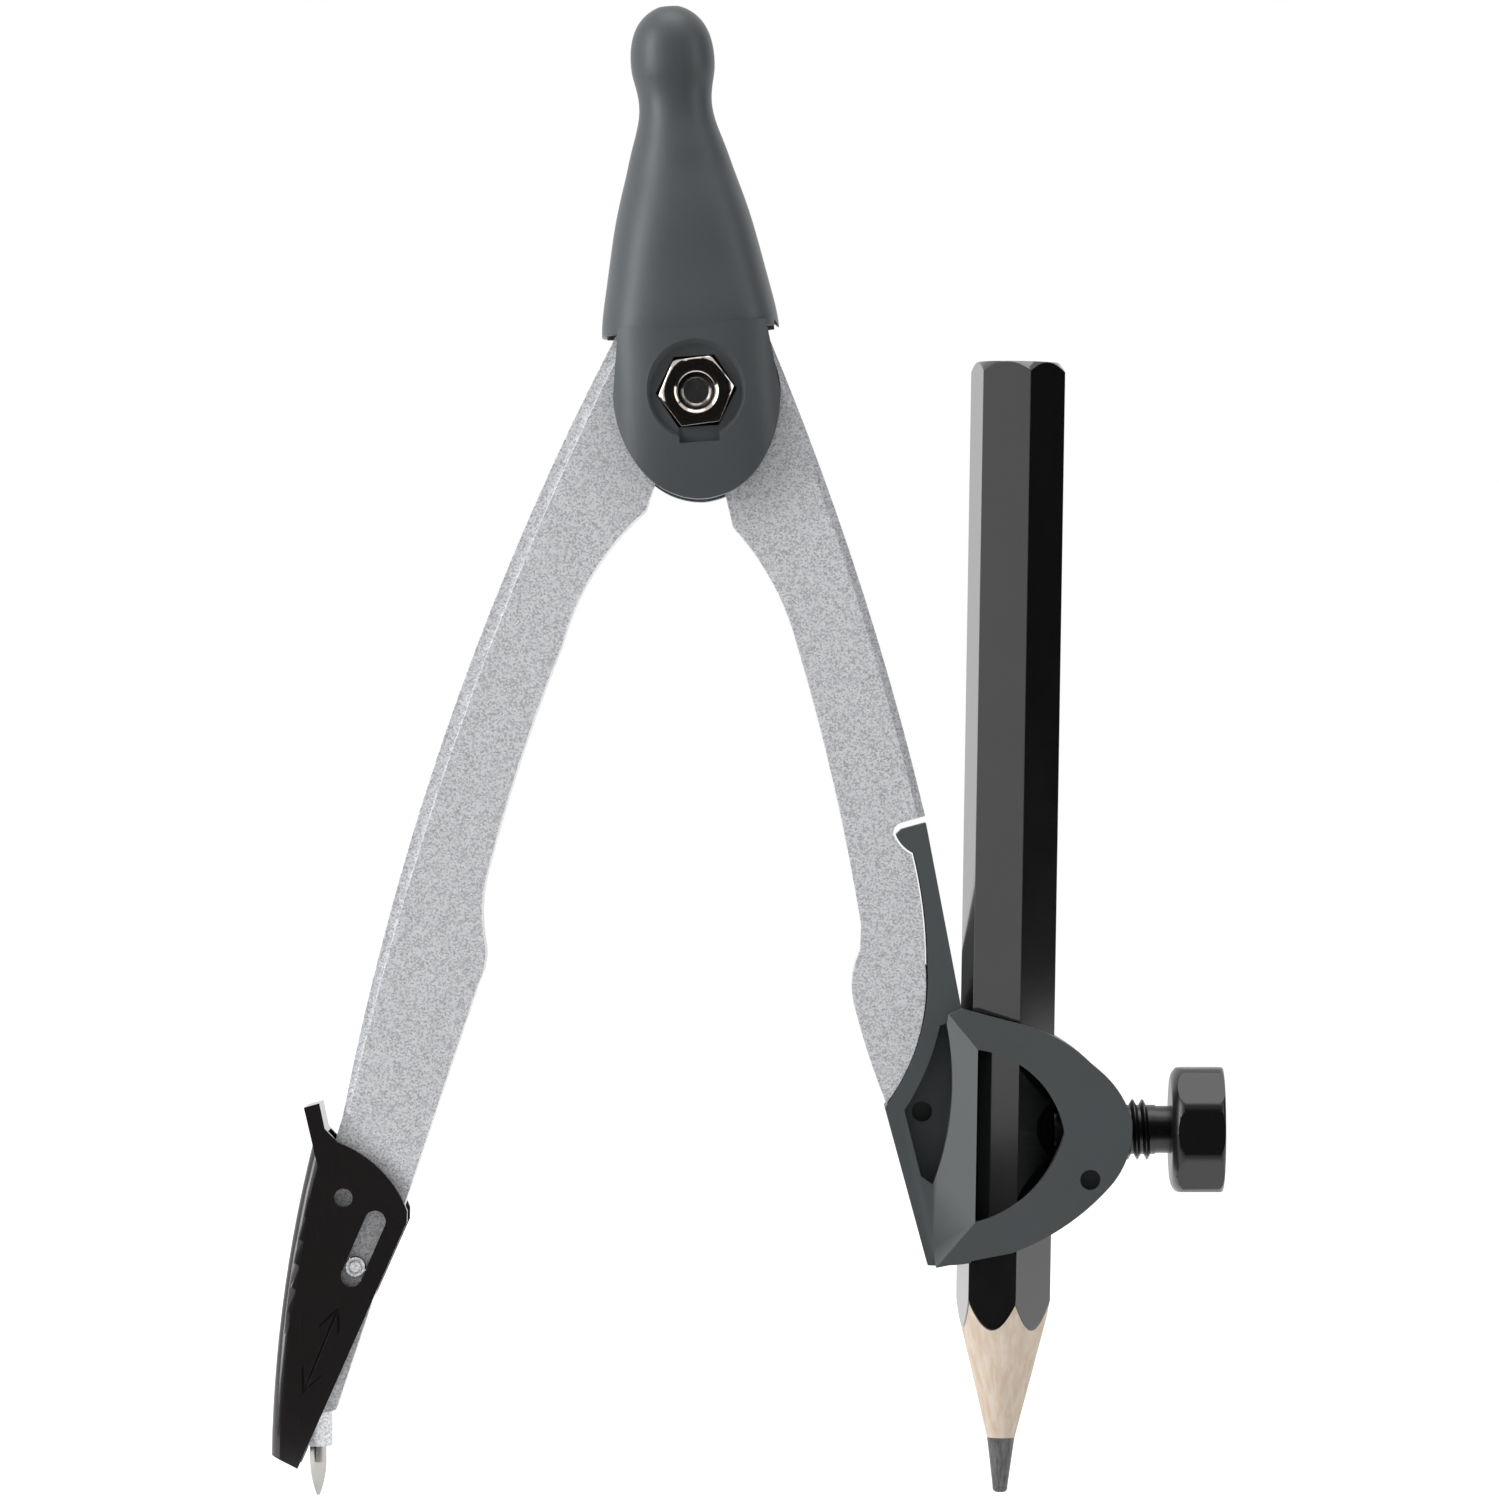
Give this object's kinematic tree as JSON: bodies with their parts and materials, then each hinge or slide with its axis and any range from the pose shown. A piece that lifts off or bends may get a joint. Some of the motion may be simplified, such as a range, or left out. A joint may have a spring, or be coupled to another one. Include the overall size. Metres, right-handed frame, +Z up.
{
  "type": "drawing compass",
  "caption": "School drawing compass with two legs on a friction pivot, a sliding needle guard and a clamp that holds a pencil.",
  "frame": {"origin": "the needle's point, which is what the compass turns on", "axes": "+Z up along the open compass, +X from the needle leg towards the pencil, -Y the side of the pivot nut"},
  "size_m": [0.0788, 0.0144, 0.1234],
  "materials": {
    "head_plastic": "fine matt moulded texture, mid grey",
    "silver_paint": "silver metallic paint with fine flakes",
    "guard_plastic": "smoked nearly black, glossy",
    "holder_plastic": "satin moulded, blue-grey",
    "black_plastic": "satin black moulded",
    "nickel": "bright nickel plate",
    "zinc": "zinc plate",
    "needle_steel": "polished steel",
    "washer_plastic": "slippery natural plastic",
    "pencil_lacquer": "glossy black lacquer",
    "pencil_cedar": "pale fine-grained sharpened wood",
    "graphite": "soft grey graphite with a slight sheen"
  },
  "bodies": {
    "head": {"head_fork": "head_plastic", "pivot_screw": "zinc", "pivot_nut": "nickel", "flat_washer": "zinc", "spring_washer": "zinc", "friction_washer_front": "washer_plastic", "friction_washer_rear": "washer_plastic"},
    "needle_arm": {"needle_leg": "silver_paint", "needle": "needle_steel", "friction_washer_middle": "washer_plastic"},
    "pin": {"guard_pin": "silver_paint"},
    "guard": {"needle_guard": "guard_plastic"},
    "pencil_arm": {"pencil_leg": "silver_paint", "pencil_holder": "holder_plastic"},
    "screw": {"clamp_screw": "black_plastic"},
    "knob": {"clamp_knob": "black_plastic"},
    "pencil": {"pencil_paint": "pencil_lacquer", "pencil_wood": "pencil_cedar", "pencil_lead": "graphite"}
  },
  "joints": [
    {"name": "needle_leg_swing", "type": "hinge", "parent": "head", "child": "needle_arm", "pos_m": [0.03136, 0, 0.09124], "axis": [0, 1, 0], "range_deg": [-16.5, 26]},
    {"name": "pencil_leg_swing", "type": "hinge", "parent": "head", "child": "pencil_arm", "pos_m": [0.03136, 0, 0.09124], "axis": [0, -1, 0], "range_deg": [-15.5, 26]},
    {"name": "guard_swing", "type": "hinge", "parent": "needle_arm", "child": "pin", "pos_m": [0.00322, 0, 0.01909], "axis": [0, -1, 0], "range_deg": [-1.85, 10.6]},
    {"name": "guard_slide", "type": "slide", "parent": "pin", "child": "guard", "axis": [-0.3983, 0, -0.9173], "range_m": [-0.0007, 0.0041]},
    {"name": "clamp_slide", "type": "slide", "parent": "pencil_arm", "child": "screw", "axis": [1, 0, 0], "range_m": [0, 0.0048]},
    {"name": "clamp_turn", "type": "hinge", "parent": "screw", "child": "knob", "pos_m": [0.05698, 0, 0.03029], "axis": [1, 0, 0], "range_deg": [-2, 2166]},
    {"name": "pencil_slide", "type": "slide", "parent": "pencil_arm", "child": "pencil", "axis": [0.0164, 0, 0.9999], "range_m": [-0.005, 0.025]}
  ],
  "couplings": [
    {"joint": "guard_swing", "follows": "guard_slide", "rad_per_m": 44.7},
    {"joint": "clamp_turn", "follows": "clamp_slide", "rad_per_m": 7854}
  ]
}
